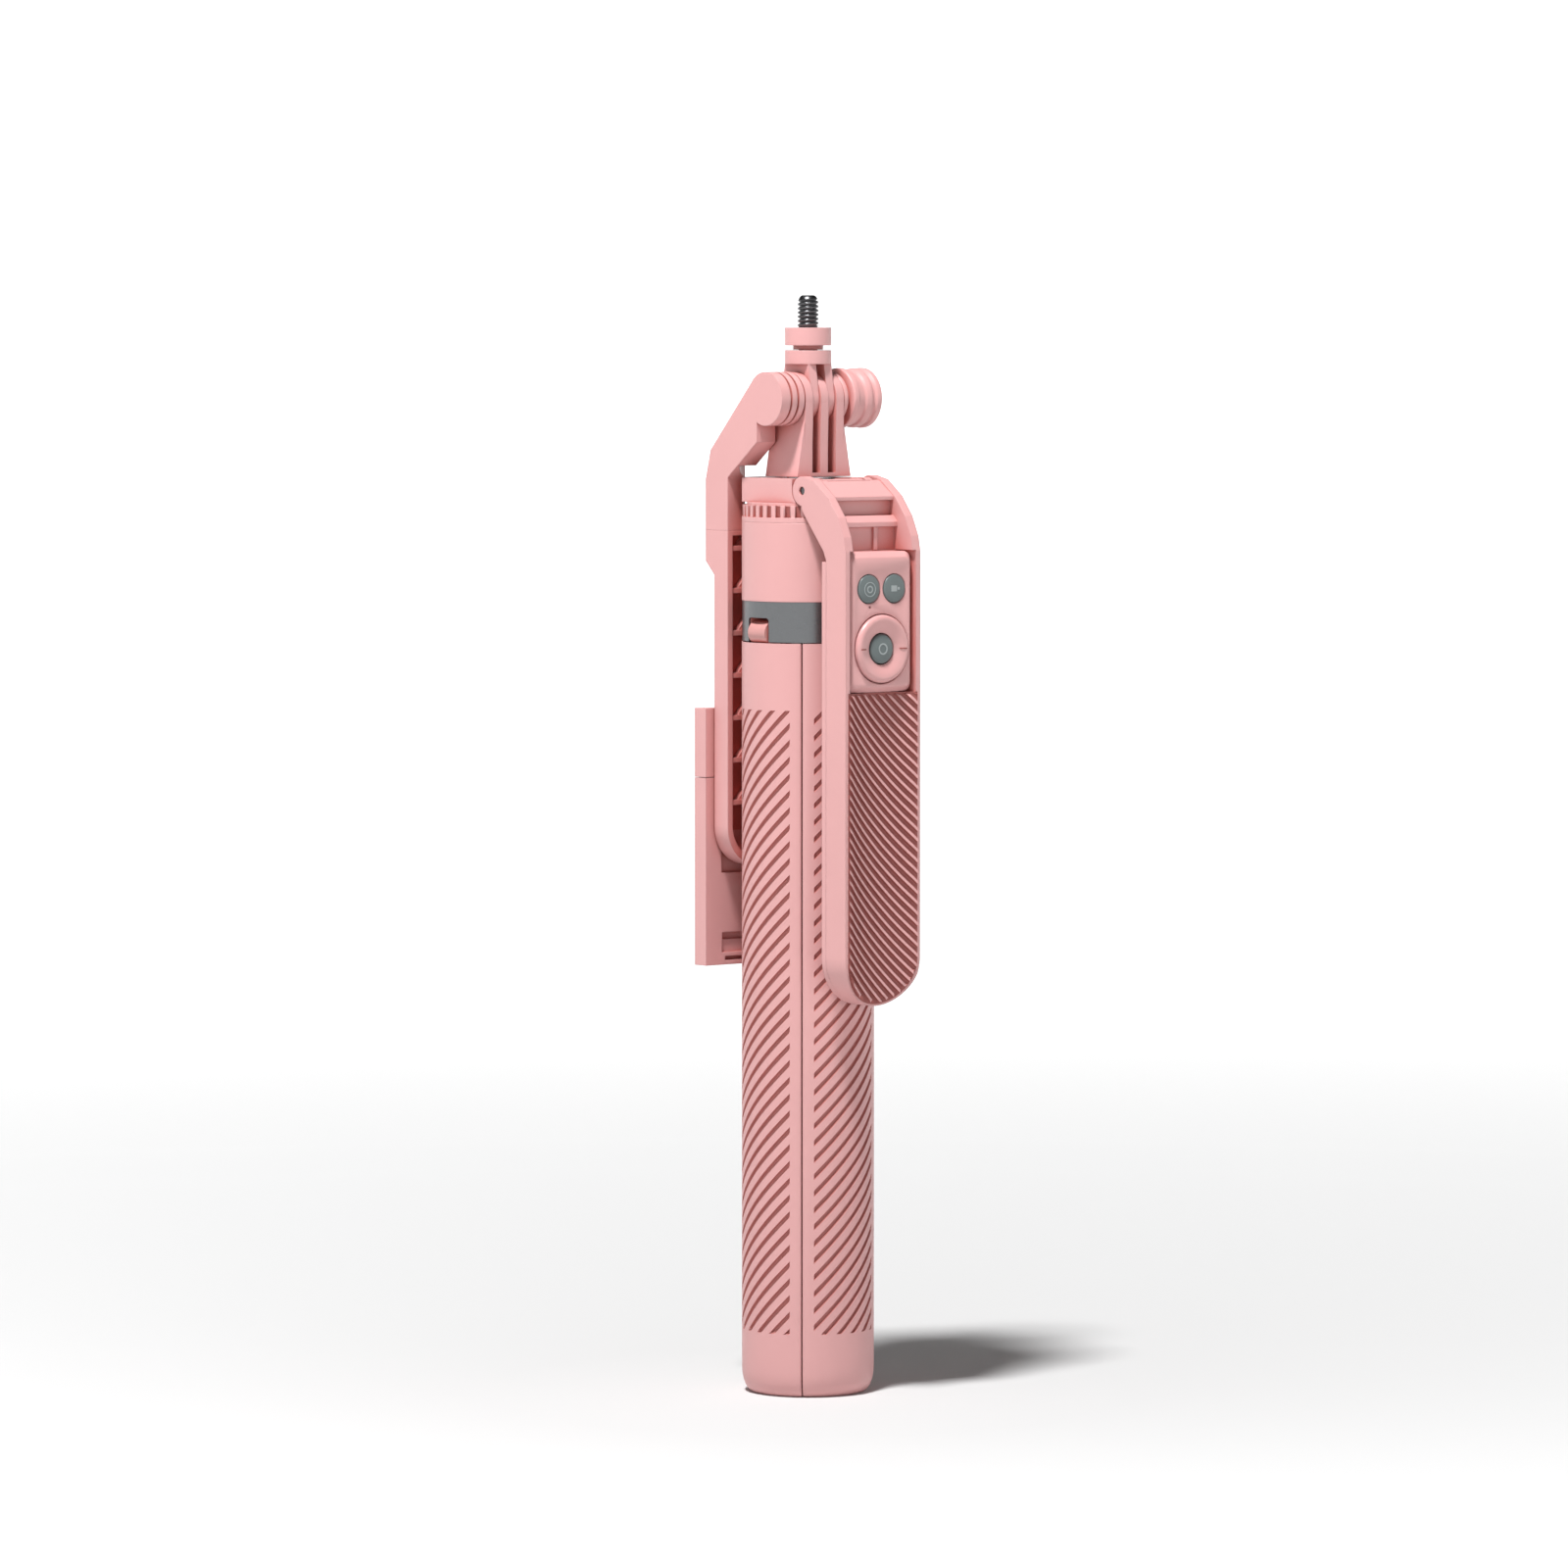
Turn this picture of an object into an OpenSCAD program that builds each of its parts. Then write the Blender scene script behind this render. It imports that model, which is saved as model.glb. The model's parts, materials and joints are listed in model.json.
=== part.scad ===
// Selfie stick: a telescoping pole whose grip opens into four legs, with a swing-down
// balance handle that carries a remote, and a folding phone arm behind the pole.
// The pole's axis is Z and the feet stand on z = 0. The handle faces -Y, the phone arm +Y.

/* [Grip and legs] */
// Outer radius of the closed legs
grip_r = 20.25; // [19:0.25:22]
// Height of the leg shells' top edge
leg_top = 230.4; // [229:0.1:231]
// Wall of a leg shell
shell_t = 2.25; // [1.8:0.05:2.6]
// Width of a leg hinge knuckle
knuckle_w = 8; // [6:0.5:9]

/* [Housing] */
// Top of the metal band, where the collar starts
band_top = 243; // [242:0.5:245]
// Top of the collar, where the knurled ring starts
collar_top = 267; // [266:0.5:268]
// Slots round the knurled ring
knurl_count = 39; // [30:1:44]
// Half width of the top cap and of the balance handle
cap_hw = 14.75; // [14:0.25:15.5]

/* [Pole] */
// Outer radius of the fixed tube
tube_r = 11; // [10.5:0.1:11.4]
// Wall of every tube
tube_t = 0.4; // [0.4:0.05:0.6]
// Radial gap between one tube and the next
tube_gap = 0.6; // [0.4:0.05:0.6]

/* [Head] */
// Height of the cross bolt
bolt_z = 304.5; // [302:0.5:306]
// Distance between neighbouring prongs and blades
prong_pitch = 3.05; // [3:0.05:3.2]
// Radius of the clamp knob
knob_r = 9.2; // [8:0.1:10]

/* [Balance handle] */
// Height of the handle's lower end
handle_low = 120.6; // [110:0.5:130]
// Front of the handle's side walls
handle_front = -35.6; // [-36.5:0.1:-35]
// Sag of the hollow grip face
grip_sag = 3.6; // [2:0.1:3.8]

/* [Remote] */
// Width of the remote
remote_w = 25.8; // [25:0.1:26]
// Height of the remote
remote_h = 42.6; // [40:0.1:42.8]
// Radius of the round buttons
button_r = 4.3; // [3.8:0.1:4.4]

/* [Phone holder] */
// Half width of the holder plate
plate_hw = 20; // [18:0.5:21]
// Height of the holder pivot
pivot_z = 169.8; // [168:0.1:172]
// Pitch of the tray's cross ribs
rib_pitch = 13; // [11:0.5:15]

/* [Hidden] */
$fn = 96;
run_gap = 0.05;             // radial clearance of a running fit
free_gap = 0.3;             // clearance between curved faces that only pass
hinge_r = 17;               // the leg hinges' distance from the pole's axis
hinge_z = 233.5;
pin_r = 1.25;               // leg pins and handle pin
knuckle_r = 3.5;
band_low = 230.7;
hub_r = 19.45;
cap_low = 273;
ear_r = 4.4;                // round ends of the handle's arms
lug_r = 3.8;                // lugs of the cap round the handle pin
arm_x = 11.75;              // inner face of the handle's side arms
pin_y = -14.8;
pin_z = 276.8;
cap_top = 280.4;
head_low = cap_top + 0.4;
bolt_r = 2.5;
screw_r = 3.175;            // 1/4 inch camera screw
shank_r = 2.9;              // its relieved shank
shank_low = 316;
handle_back_y = -24.3;
pocket_low = 216;
remote_front_y = -34.9;
recess_y = -26.8;           // floor above the remote pocket
remote_back_y = -27.3;
ring_z = 229.2;
key_z = 247.4;
wall_y = 18;                // front edge of the phone tray and arm
floor_y = 21.5;             // inner face of the phone tray
tray_back = 24.5;
plate_y = [25, 30.4];
plate_z = [130.2, 209.4];
split_z = 188;              // where the sliding head meets the plate
jaw_y = 29.3;
LEGS = [["right", 0], ["back", 90], ["left", 180], ["front", 270]];
PINK = [0.91, 0.68, 0.66];
DEEP_PINK = [0.8, 0.54, 0.52];
STEEL = [0.62, 0.62, 0.64];
DARK = [0.3, 0.31, 0.32];

// ---- shared shapes ----

// A cylinder along X from x0 to x1, through (y, z)
module rod_x(x0, x1, y, z, r) {
    translate([x0, y, z])
        rotate([0, 90, 0])
            cylinder(r = r, h = x1 - x0);
}

// A cylinder along +Y from y0 to y1, through (x, z)
module rod_y(y0, y1, x, z, r) {
    translate([x, y0, z])
        rotate([-90, 0, 0])
            cylinder(r = r, h = y1 - y0);
}

// A ring round the pole's axis
module sleeve(z0, z1, r_in, r_out) {
    difference() {
        translate([0, 0, z0]) cylinder(r = r_out, h = z1 - z0);
        translate([0, 0, z0 - 1]) cylinder(r = r_in, h = z1 - z0 + 2);
    }
}

// A plate with an outline in the YZ plane, from x0 to x1
module plate_x(x0, x1, outline) {
    translate([x0, 0, 0])
        rotate([90, 0, 90])
            linear_extrude(height = x1 - x0)
                polygon(outline);
}

// A plate with an outline in the XZ plane, from y0 to y1
module plate_y_dir(y0, y1, outline) {
    translate([0, y1, 0])
        rotate([90, 0, 0])
            linear_extrude(height = y1 - y0)
                polygon(outline);
}

// A box between two corners
module block(low, high) {
    translate(low) cube(high - low);
}

// A box with its four edges along Y rounded to r
module pad_y(x, y, z, r) {
    block([x[0] + r, y[0], z[0]], [x[1] - r, y[1], z[1]]);
    block([x[0], y[0], z[0] + r], [x[1], y[1], z[1] - r]);
    for (cx = [x[0] + r, x[1] - r], cz = [z[0] + r, z[1] - r])
        rod_y(y[0], y[1], cx, cz, r);
}

// A sector of a turned profile, centred on the direction a
module sector(a, sweep, profile) {
    rotate([0, 0, a - sweep / 2])
        rotate_extrude(angle = sweep)
            polygon(profile);
}

// ---- legs ----

module leg_shell(a) {
    inner = grip_r - shell_t;
    toe = [for (t = [0:15:90]) [grip_r - 3.4 * (1 - sin(t)), 7.5 * (1 - cos(t))]];
    skin = concat([[inner - 1.3, 0]], toe,
        [[grip_r, leg_top], [inner, leg_top], [inner, 2.7], [inner - 1.3, 2.7]]);
    color(PINK) {
        difference() {
            sector(a, 89, skin);
            rotate([0, 0, a])
                for (side = [-1, 1])
                    translate([hinge_r, side * 12, hinge_z])
                        rotate([90, 0, 0])
                            cylinder(r = 4.3, h = 15.8, center = true);
            rotate([0, 0, a])
                translate([hinge_r, 0, hinge_z])
                    rotate([90, 0, 0])
                        cylinder(r = knuckle_r, h = 8.4, center = true);
        }
    }
}

module leg_liner(a) {
    outer = grip_r - shell_t;
    color(DEEP_PINK)
        difference() {
            union() {
                sector(a, 84, [[outer - 2.4, 8.1], [outer, 8.1], [outer, 228.6], [outer - 2.4, 228.6]]);
                rotate([0, 0, a]) {
                    block([14.2, -knuckle_w / 2, 222], [17.6, knuckle_w / 2, hinge_z]);
                    translate([hinge_r, 0, hinge_z])
                        rotate([90, 0, 0])
                            cylinder(r = knuckle_r, h = knuckle_w, center = true);
                }
                for (z = [45, 90, 135, 180])
                    sector(a, 84, [[outer - 4.2, z], [outer - 2, z], [outer - 2, z + 1.6], [outer - 4.2, z + 1.6]]);
            }
            rotate([0, 0, a]) {
                translate([hinge_r, 0, hinge_z])
                    rotate([90, 0, 0])
                        cylinder(r = pin_r + run_gap, h = 30, center = true);
                for (side = [-1, 1])
                    translate([hinge_r, side * 12, hinge_z])
                        rotate([90, 0, 0])
                            cylinder(r = 5, h = 15.8, center = true);
            }
        }
}

module leg_foot(a) {
    inner = grip_r - shell_t - 1.4;
    color(DARK)
        sector(a, 85, [[12.3, 0], [inner, 0], [inner, 2.7], [inner + 1.35, 2.7], [inner + 1.35, 8], [12.3, 8]]);
}

module leg_hub() {
    color(DEEP_PINK)
        difference() {
            sleeve(band_low + 0.1, band_top, tube_r, hub_r);
            for (leg = LEGS)
                rotate([0, 0, leg[1]]) {
                    block([13.1, -knuckle_w / 2 - 0.3, band_low - 1], [22, knuckle_w / 2 + 0.3, 238.2]);
                    translate([hinge_r, 0, hinge_z])
                        rotate([90, 0, 0])
                            cylinder(r = pin_r, h = 13, center = true);
                }
        }
}

module leg_band() {
    color(DARK)
        difference() {
            sleeve(band_low, band_top, hub_r, grip_r - 0.15);
            for (leg = LEGS)
                rotate([0, 0, leg[1]]) {
                    block([15, -4.75, band_low - 1], [22, 4.75, 237]);
                    block([15, -3.75, band_low - 1], [22, 3.75, 238]);
                    for (side = [-1, 1])
                        translate([0, side * 3.75, 237])
                            rotate([0, 90, 0])
                                cylinder(r = 1, h = 22);
                }
        }
}

module leg_pins() {
    color(STEEL)
        for (leg = LEGS)
            rotate([0, 0, leg[1]])
                translate([hinge_r, 0, hinge_z])
                    rotate([90, 0, 0])
                        cylinder(r = pin_r, h = 13, center = true);
}

// ---- housing ----

module collar() {
    color(PINK)
        difference() {
            sleeve(band_top, collar_top, tube_r, grip_r);
            sleeve(band_top + 2, collar_top - 2.2, tube_r + 1.6, grip_r - 2.6);
            screw_holes();
        }
}

module knurled_ring() {
    color(PINK)
        difference() {
            union() {
                sleeve(collar_top, cap_low, tube_r, grip_r - 1.6);
                sleeve(collar_top, 268.6, tube_r, grip_r);
                sleeve(268.6, 272.2, tube_r, grip_r - 0.25);
            }
            for (i = [0:knurl_count - 1])
                rotate([0, 0, 360 * i / knurl_count])
                    block([grip_r - 1.5, -0.8, 268.6], [grip_r + 1, 0.8, 272.3]);
            for (side = [-1, 1])
                rod_x(side * 15 - 3.55, side * 15 + 3.55, pin_y, pin_z, ear_r + free_gap);
            screw_holes();
        }
}

module screw_spots() {
    for (a = [25, 155, 205, 335])
        rotate([0, 0, a])
            translate([14.3, 0, 0])
                children();
}

module screw_holes() {
    screw_spots() translate([0, 0, 247]) cylinder(r = 1.1, h = 31);
}

module housing_screws() {
    color(STEEL)
        screw_spots() {
            translate([0, 0, 262.6]) cylinder(r = 1.6, h = collar_top - 2.2 - 262.6);
            translate([0, 0, 262.6]) cylinder(r = 1.1, h = 278 - 262.6);
        }
}

module top_cap() {
    color(PINK)
        difference() {
            union() {
                intersection() {
                    translate([0, 0, cap_low]) cylinder(r = grip_r, h = cap_top - cap_low);
                    block([-cap_hw, pin_y + 2, cap_low - 1], [cap_hw, 25, cap_top + 1]);
                    rotate([0, 0, 45]) block([-24.5, -30, cap_low - 1], [30, 24.5, cap_top + 1]);
                }
                for (side = [-1, 1]) {
                    rod_x(side * 10.1 - 1.35, side * 10.1 + 1.35, pin_y, pin_z, lug_r);
                    block([side * 10.1 - 1.35, pin_y, cap_low], [side * 10.1 + 1.35, pin_y + 6, cap_top]);
                }
            }
            block([-8.75, -20, cap_low - 1], [8.75, pin_y + 5, cap_top + 1]);
            for (side = [-1, 1]) {
                rod_x(side * 15 - 3.55, side * 15 + 3.55, pin_y, pin_z, ear_r + free_gap);
                block([side * 15 - 3.55, -20, pin_z], [side * 15 + 3.55, pin_y + ear_r + free_gap, cap_top + 1]);
            }
            translate([0, 0, cap_low - 1])
                cylinder(r = pole_r(2) + run_gap, h = 12);
            rod_x(-20, 20, pin_y, pin_z, pin_r);
            screw_holes();
        }
}

module handle_pin() {
    color(DARK) rod_x(-cap_hw + 0.5, cap_hw - 0.5, pin_y, pin_z, pin_r);
}

// ---- pole ----

function pole_r(n) = tube_r - (n - 1) * (tube_t + tube_gap);

module pole_tube(n) {
    low = 30 + 2 * (n - 1);
    high = n == 1 ? cap_low : (n == 5 ? head_low : 279 + 0.3 * n);
    color(STEEL) sleeve(low, high, pole_r(n) - tube_t, pole_r(n));
}

module glide_bush(n) {
    low = 30 + 2 * (n - 1);
    color(DARK) sleeve(low + 1, low + 11, pole_r(n), pole_r(n) + tube_gap - run_gap);
}

// ---- head ----

module pole_head() {
    color(PINK)
        difference() {
            union() {
                plate_y_dir(-7.7, 7.7, [[-10.5, head_low], [10.5, head_low], [7.6, 298], [-7.6, 298]]);
                for (i = [-1:1])
                    translate([2 * i * prong_pitch, 0, 0]) {
                        rod_x(-1.5, 1.5, 0, bolt_z, 8.1);
                        plate_x(-1.5, 1.5, [[-7.7, 290], [7.7, 290], [8.1, 303.6], [-8.1, 303.6]]);
                    }
                translate([0, 0, 262])
                    cylinder(r = pole_r(5) - tube_t, h = head_low - 262 + 1);
            }
            for (side = [-1, 1])
                plate_x(side * prong_pitch - 1.55, side * prong_pitch + 1.55,
                    [[-12, head_low + 1.2], [12, head_low + 1.2], [12, 320], [-12, 320]]);
            rod_x(-12, 12, 0, bolt_z, bolt_r + run_gap);
        }
}

module cross_bolt() {
    color(STEEL) rod_x(-15.2, 20, 0, bolt_z, bolt_r);
}

module bolt_knob() {
    // [from x, radius] of each step, ending at the far face
    steps = [[7.9, 8], [9.6, 6.4], [11, knob_r], [16.6, knob_r - 0.9], [17.8, knob_r], [21.1, 0]];
    color(PINK)
        difference() {
            union() {
                for (i = [0:4])
                    rod_x(steps[i][0], steps[i + 1][0], 0, bolt_z, steps[i][1]);
                translate([21.1, 0, bolt_z]) rotate([0, 90, 0]) cylinder(r1 = knob_r, r2 = knob_r - 1, h = 1);
            }
            rod_x(7, 20, 0, bolt_z, bolt_r);
        }
}

module bolt_nut() {
    color(STEEL)
        difference() {
            translate([-15.6, 0, bolt_z]) rotate([0, 90, 0]) cylinder(r = 4.6, h = 3.6, $fn = 6);
            rod_x(-17, -10, 0, bolt_z, bolt_r + run_gap);
        }
}

module adapter_fork() {
    color(PINK)
        difference() {
            union() {
                for (side = [-1, 1])
                    translate([side * prong_pitch, 0, 0]) {
                        rod_x(-1.45, 1.45, 0, bolt_z, 7.4);
                        plate_x(-1.45, 1.45, [[-7.2, bolt_z + 1.5], [7.2, bolt_z + 1.5], [5.6, 315.4], [-5.6, 315.4]]);
                    }
                translate([0, 0, 315]) cylinder(r = 7.1, h = 4.2);
            }
            rod_x(-12, 12, 0, bolt_z, bolt_r + run_gap);
            translate([0, 0, shank_low]) cylinder(r = shank_r, h = 5);
        }
}

module lock_disc() {
    color(PINK) {
        sleeve(320.7, 326.1, shank_r + run_gap, 7.1);
        sleeve(319.4, 320.8, shank_r + run_gap, 4.6);
    }
}

module camera_screw() {
    color(DARK) {
        translate([0, 0, shank_low]) cylinder(r = shank_r, h = 326.4 - shank_low);
        translate([0, 0, 326.3]) cylinder(r = screw_r, h = 335 - 326.3);
        translate([0, 0, 335]) cylinder(r1 = screw_r, r2 = 2.2, h = 1);
    }
}

// ---- phone arm ----

module phone_arm() {
    side = [[-7.2, 301], [0, 300], [4, 299], [4, 291.3], [17.7, 280.6], [wall_y, 280.3], [wall_y, 264],
        [28.7, 264], [28.7, 279.6], [26.3, 288.6], [6.4, 309.6], [0, 312.5]];
    pocket = [[6, 295], [6.5, 292.4], [18.5, 283.2], [25, 283.2], [24.4, 287.2], [9, 303.5]];
    color(PINK)
        difference() {
            union() {
                plate_x(-17, -9.6, side);
                rod_x(-17, -13.6, 0, bolt_z, 8.2);
                rod_x(-13.7, -12.7, 0, bolt_z, 7.3);
                rod_x(-12.8, -10.9, 0, bolt_z, 8.2);
                rod_x(-11, -10, 0, bolt_z, 7.3);
                rod_x(-10.1, -8.1, 0, bolt_z, 8.2);
            }
            for (x = [-13.7, -11])
                difference() {
                    rod_x(x + 0.1, x + 0.9, 0, bolt_z, 9);
                    rod_x(x, x + 1, 0, bolt_z, 7.3);
                }
            plate_x(-15, -11.4, pocket);
            translate([0, 0, 200]) cylinder(r = grip_r + 0.75, h = 84);
            rod_x(-15.6, -6, 0, bolt_z, bolt_r + run_gap);
            translate([-15.6, 0, bolt_z]) rotate([0, 90, 0]) cylinder(r = 4.6, h = 3.6, $fn = 6);
        }
}

module phone_tray() {
    color(PINK)
        difference() {
            union() {
                difference() {
                    union() {
                        pad_y([-17, 17], [wall_y, tray_back], [161, 264], 12);
                        block([-17, wall_y, 200], [17, tray_back, 264]);
                        plate_x(-17, 17, [[24, 250], [tray_back, 250.3], [28.7, 254.6], [28.7, 264], [24, 264]]);
                    }
                    pad_y([-15, 15], [10, floor_y], [163, 262.5], 10.5);
                    block([-15, 10, 200], [15, floor_y, 262.5]);
                    block([-7.9, 10, 262], [15, floor_y, 270]);
                }
                for (i = [0:6]) {
                    z = 179.8 + i * rib_pitch;
                    block([-15.5, wall_y + 0.4, z], [15.5, floor_y + 0.5, z + 1.6]);
                    for (side = [-1, 1])
                        plate_y_dir(19.4, floor_y + 0.5, [[side * 12.5, z + 1], [side * 9, z + 1], [side * 9, z + 5]]);
                }
            }
            translate([0, 0, 150]) cylinder(r = grip_r + 0.75, h = 130);
            rod_y(15, 30, 0, pivot_z, 4 + run_gap);
            rod_y(15, 23, 0, pivot_z, 6.2);
        }
}

// ---- phone holder ----

module holder_pivot() {
    color(STEEL) {
        rod_y(21.7, 23, 0, pivot_z, 5.9);
        rod_y(22.9, plate_y[0] + 1.5, 0, pivot_z, 4);
        rod_y(tray_back + 0.1, plate_y[0] + 1.5, 0, pivot_z, 8);
    }
}

module holder_plate() {
    color(PINK)
        difference() {
            block([-plate_hw, plate_y[0], plate_z[0]], [plate_hw, plate_y[1], split_z]);
            for (side = [-1, 1])
                translate([side * 16.5, 28.2, 138]) cylinder(r = 1.25 + run_gap, h = 60);
            translate([0, 28.2, 158]) cylinder(r = 1.5, h = 29);
            // recess for the folded jaw, and its pin
            block([-9.4, 28.1, 128], [9.4, 32, 152]);
            rod_x(-11.5, 11.5, jaw_y, plate_z[0] + 2, 0.8);
            // recess round the pivot, and the stepped pocket below it
            block([-13.8, 20, pivot_z - 11.2], [13.8, plate_y[0] + 1.5, pivot_z + 11.2]);
            block([-13.6, 20, 134], [13.6, plate_y[0] + 0.9, 138]);
            block([-13.6, 20, 138], [13.6, plate_y[0] + 2, 140.2]);
            block([-12.4, 20, 131.6], [12.4, plate_y[0] + 2, 132.8]);
        }
}

module jaw_slider() {
    color(PINK)
        difference() {
            block([-plate_hw, plate_y[0], split_z + 0.2], [plate_hw, plate_y[1], plate_z[1]]);
            for (side = [-1, 1])
                translate([side * 16.5, 28.2, 180]) cylinder(r = 1.25, h = 24);
            block([-9.4, 28.1, split_z - 1], [9.4, 32, 212]);
            rod_x(-11.5, 11.5, jaw_y, plate_z[1] - 2, 0.8);
        }
}

module guide_rods() {
    color(STEEL)
        for (side = [-1, 1])
            translate([side * 16.5, 28.2, 141]) cylinder(r = 1.25, h = 63);
}

module clamp_spring() {
    color(STEEL)
        for (i = [0:13])
            translate([0, 28.2, 159 + i * 2])
                rotate_extrude($fn = 32)
                    translate([1.1, 0]) circle(r = 0.3, $fn = 16);
}

module jaw(z, up) {
    low = up > 0 ? z : z - 17;
    color(PINK)
        difference() {
            union() {
                block([-9, 28.75, low], [9, plate_y[1], low + 17]);
                rod_x(-9, 9, jaw_y, z, 1.05);
            }
            rod_x(-12, 12, jaw_y, z, 0.8 + run_gap);
        }
}

module jaw_pad(z, up) {
    low = up > 0 ? z + 3 : z - 16;
    color(DARK) block([-8, 28.15, low], [8, 28.75, low + 13]);
}

module jaw_pin(z) {
    color(STEEL) rod_x(-11.5, 11.5, jaw_y, z, 0.8);
}

// ---- balance handle ----

arm_front = [[-15.6, 281.1], [-20.4, 280], [-27.1, 275.1], [-31.9, 269.1], [-34.7, 263.1], [handle_front, 258.6]];

module handle_shell() {
    low_mid = handle_low + cap_hw;
    hollow_r = (pow(13.75, 2) + pow(grip_sag, 2)) / (2 * grip_sag);
    color(PINK)
        difference() {
            union() {
                difference() {
                    union() {
                        plate_x(-cap_hw, cap_hw, concat(arm_front, [[handle_front, low_mid], [-26.3, low_mid],
                            [-26.3, 256], [-25, 258.8], [-13.8, 272.1], [-13.8, 274]]));
                        rod_y(handle_front, -26.3, 0, low_mid, cap_hw);
                    }
                    // the round ends are added back below
                    block([-20, pin_y, 272.8], [20, 0, 290]);
                    rod_x(-20, 20, pin_y, pin_z, ear_r - 0.2);
                    // front recess above the remote, with the second crossbar left standing
                    block([-arm_x, -50, 258.8], [arm_x, -28.3, 300]);
                    block([-arm_x, -50, 258.8], [arm_x, recess_y, 265.9]);
                    // the sloping front of the second crossbar, and the recess above it
                    plate_x(-arm_x, arm_x, [[-26.4, 269.3], [-28.7, 266.9], [-50, 266.9], [-50, 300], [-24.6, 300],
                        [-24.6, 269.3]]);
                    // room for the pivot behind the crossbars
                    block([-arm_x, -23.4, 262], [arm_x, -10, 300]);
                    block([-arm_x, -24.7, 275], [arm_x, -10, 300]);
                }
                // first crossbar, a plate that follows the arms' slope
                plate_x(-arm_x - 0.1, arm_x + 0.1, [[-19, 279.9], [-20.3, 279.4], [-26.4, 275], [-26.4, 273.9],
                    [-23.4, 273.9], [-23.4, 275.4], [-19.4, 277.6], [-19, 277.6]]);
                for (side = [-1, 1])
                    rod_x(side * 13.25 - 1.5, side * 13.25 + 1.5, pin_y, pin_z, ear_r);
                rod_x(-8.4, 8.4, pin_y, pin_z, ear_r - 1);
                block([-8.4, -19.6, pin_z - 1], [8.4, pin_y, 279.9]);
                block([3, recess_y - 0.8, 258.8], [4.6, recess_y + 0.1, 266]);
            }
            // room for the collar and the knurled ring
            translate([0, 0, 200]) cylinder(r = grip_r + 0.4, h = 72.3);
            // hollow grip face
            translate([0, handle_front - hollow_r + grip_sag, 100]) cylinder(r = hollow_r, h = 116);
            // remote pocket
            block([-13.05, -50, pocket_low - 0.15], [13.05, remote_back_y + 0.1, 258.85]);
            // cavity behind the grip face
            block([-11, -29.6, 138], [11, -20, 212]);
            rod_x(-20, 20, pin_y, pin_z, pin_r + run_gap);
            for (z = [133, 214])
                rod_y(-30.6, -20, 0, z, 0.9);
        }
}

module handle_back_cover() {
    low_mid = handle_low + cap_hw;
    color(PINK)
        difference() {
            union() {
                rod_y(-26.3, handle_back_y, 0, low_mid, cap_hw);
                block([-cap_hw, -26.3, low_mid], [cap_hw, handle_back_y, 255.6]);
                difference() {
                    block([-10.9, -27.6, 139], [10.9, -26.2, 211]);
                    block([-9.6, -28, 140.3], [9.6, -26, 209.7]);
                }
            }
            for (z = [133, 214]) {
                rod_y(-31, -20, 0, z, 0.9);
                rod_y(-25.6, -20, 0, z, 1.9);
            }
        }
}

module handle_screws() {
    color(STEEL)
        for (z = [133, 214]) {
            rod_y(-30.6, -25.6, 0, z, 0.9);
            rod_y(-25.6, -24.6, 0, z, 1.8);
        }
}

// ---- remote ----

function remote_x(inset) = [-remote_w / 2 + inset, remote_w / 2 - inset];
function remote_z(inset) = [pocket_low + inset, pocket_low + remote_h - inset];

module remote_front_shell() {
    color(PINK)
        difference() {
            union() {
                pad_y(remote_x(0), [-33.5, -31], remote_z(0), 2.6);
                pad_y(remote_x(0.6), [-34.2, -33.5], remote_z(0.6), 2.2);
                pad_y(remote_x(1.4), [remote_front_y, -34.2], remote_z(1.4), 1.5);
            }
            pad_y(remote_x(1.3), [-33.7, -30], remote_z(1.3), 1.5);
            for (side = [-1, 1])
                rod_y(-40, -30, side * 5, key_z, button_r + 0.2);
            rod_y(-40, -30, 0, ring_z, 10.7);
            rod_y(-40, -30, -4.6, 241.5, 0.4);
        }
}

module remote_back_shell() {
    color(PINK)
        difference() {
            pad_y(remote_x(0), [-31, remote_back_y], remote_z(0), 2.6);
            pad_y(remote_x(1.3), [-32, remote_back_y - 1], remote_z(1.3), 1.5);
        }
}

module remote_board() {
    color([0.1, 0.35, 0.2]) pad_y(remote_x(1.5), [-31.8, -31], remote_z(1.5), 1.3);
}

module coin_cell() {
    color(STEEL) {
        rod_y(-30.9, -29.3, 0, 230, 9.4);
        rod_y(-29.4, -28.4, 0, 230, 10);
    }
}

module key(x) {
    color(DARK) {
        rod_y(-35.3, -32.5, x, key_z, button_r);
        rod_y(-33.2, -32.5, x, key_z, 4.8);
    }
}

module zoom_ring() {
    color(PINK)
        difference() {
            union() {
                translate([0, -32.5, ring_z])
                    rotate([90, 0, 0])
                        rotate_extrude()
                            polygon([[4.85, 0], [10.3, 0], [10.3, 2.6], [9.9, 3.3], [9.1, 3.7], [8.3, 3.6],
                                [6.2, 2.6], [4.85, 2.3]]);
                rod_y(-33.1, -32.5, 0, ring_z, 11);
            }
            rod_y(-40, -30, 0, ring_z, 4.85);
            for (side = [-1, 1])
                block([side * 7.6 - 1.2, -37, ring_z - 0.25], [side * 7.6 + 1.2, -35.1, ring_z + 0.25]);
        }
}

module shutter_button() {
    color(DARK) rod_y(-35.3, -32.5, 0, ring_z, 4.5);
}

// ---- drawing ----

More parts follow.
